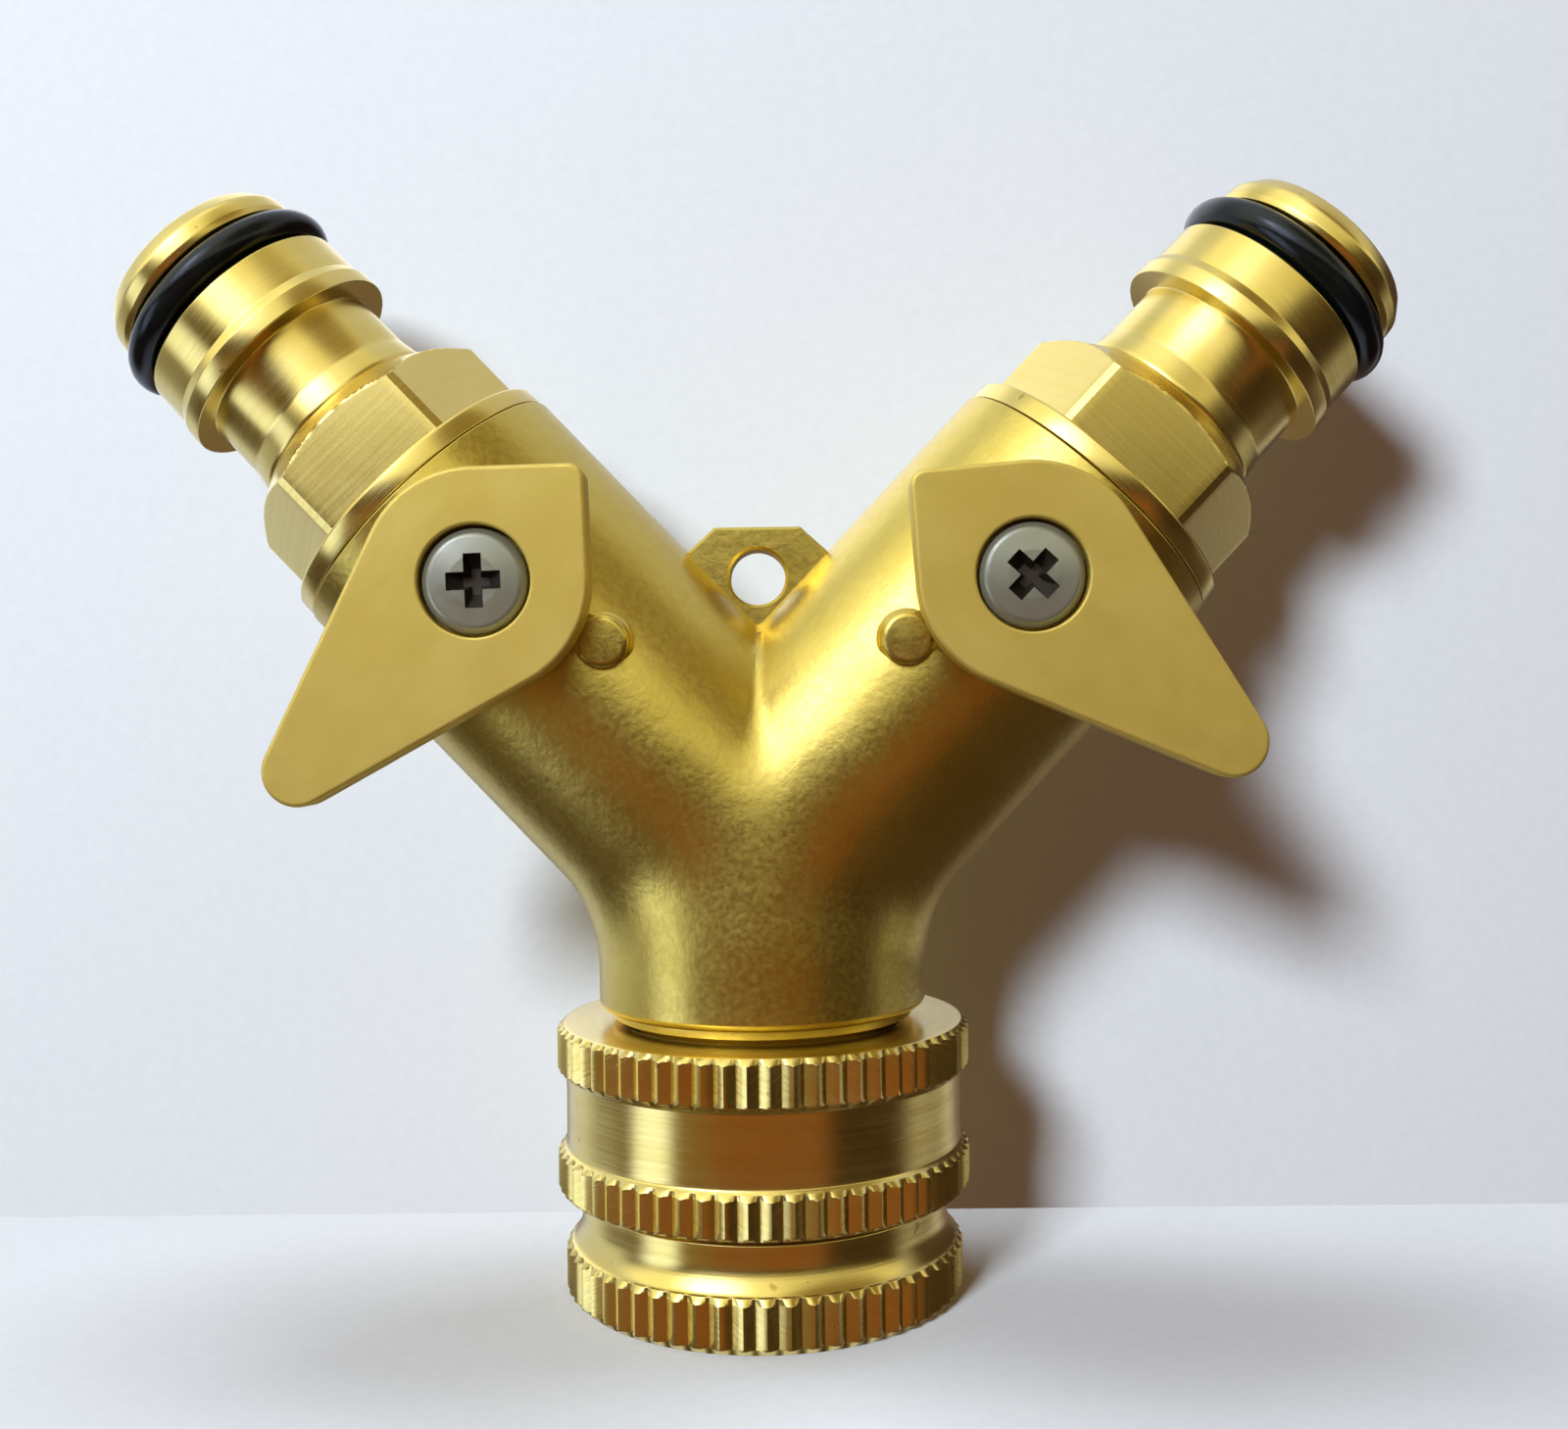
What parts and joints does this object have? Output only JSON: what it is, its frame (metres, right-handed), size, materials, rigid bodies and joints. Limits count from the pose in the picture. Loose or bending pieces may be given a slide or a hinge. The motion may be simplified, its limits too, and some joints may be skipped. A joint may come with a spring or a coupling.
{
  "type": "hose splitter",
  "caption": "Brass Y-shaped garden hose splitter with a knurled swivel inlet, a removable thread reducer, quarter-turn ball valves and male quick-connect outlets.",
  "frame": {"origin": "on the inlet axis, in the plane of the thread reducer's bottom face", "axes": "+Z along the inlet axis from the inlet towards the outlets, +X across the two outlet arms, -Y the side the valve handles face"},
  "size_m": [0.0944, 0.0304, 0.0811],
  "materials": {
    "cast_brass": "tumbled casting, fine grain",
    "turned_brass": "turned, fine tool lines",
    "brass_plate": "satin",
    "rubber": "smooth black",
    "ptfe": "waxy white",
    "zinc_steel": "zinc plated",
    "spring_steel": "plain",
    "chromed_ball": "polished"
  },
  "bodies": {
    "inlet": {"thread_reducer": "turned_brass", "reducer_washer": "rubber"},
    "nut": {"swivel_nut": "turned_brass", "inlet_washer": "rubber"},
    "splitter": {"y_body": "cast_brass", "nut_retaining_ring": "spring_steel", "left_outlet_nipple": "turned_brass", "left_outlet_o_ring": "rubber", "left_nipple_gasket": "rubber", "left_inner_seat": "ptfe", "left_outer_seat": "ptfe", "right_outlet_nipple": "turned_brass", "right_outlet_o_ring": "rubber", "right_nipple_gasket": "rubber", "right_inner_seat": "ptfe", "right_outer_seat": "ptfe"},
    "left_valve": {"left_handle": "brass_plate", "left_handle_screw": "zinc_steel", "left_stem": "turned_brass", "left_stem_thrust_washer": "ptfe", "left_stem_o_ring_lower": "rubber", "left_stem_o_ring_upper": "rubber", "left_ball": "chromed_ball"},
    "right_valve": {"right_handle": "brass_plate", "right_handle_screw": "zinc_steel", "right_stem": "turned_brass", "right_stem_thrust_washer": "ptfe", "right_stem_o_ring_lower": "rubber", "right_stem_o_ring_upper": "rubber", "right_ball": "chromed_ball"}
  },
  "joints": [
    {"name": "reducer_unscrew", "type": "slide", "parent": "inlet", "child": "nut", "axis": [0, 0, 1], "range_m": [0, 0.0062]},
    {"name": "nut_swivel", "type": "hinge", "parent": "nut", "child": "splitter", "pos_m": [0, 0, 0.0196], "axis": [0, 0, 1], "continuous": true},
    {"name": "left_valve_turn", "type": "hinge", "parent": "splitter", "child": "left_valve", "pos_m": [-0.01824, 0, 0.05112], "axis": [0, 1, 0], "range_deg": [0, 93]},
    {"name": "right_valve_turn", "type": "hinge", "parent": "splitter", "child": "right_valve", "pos_m": [0.01824, 0, 0.05112], "axis": [0, -1, 0], "range_deg": [-6, 87]}
  ]
}
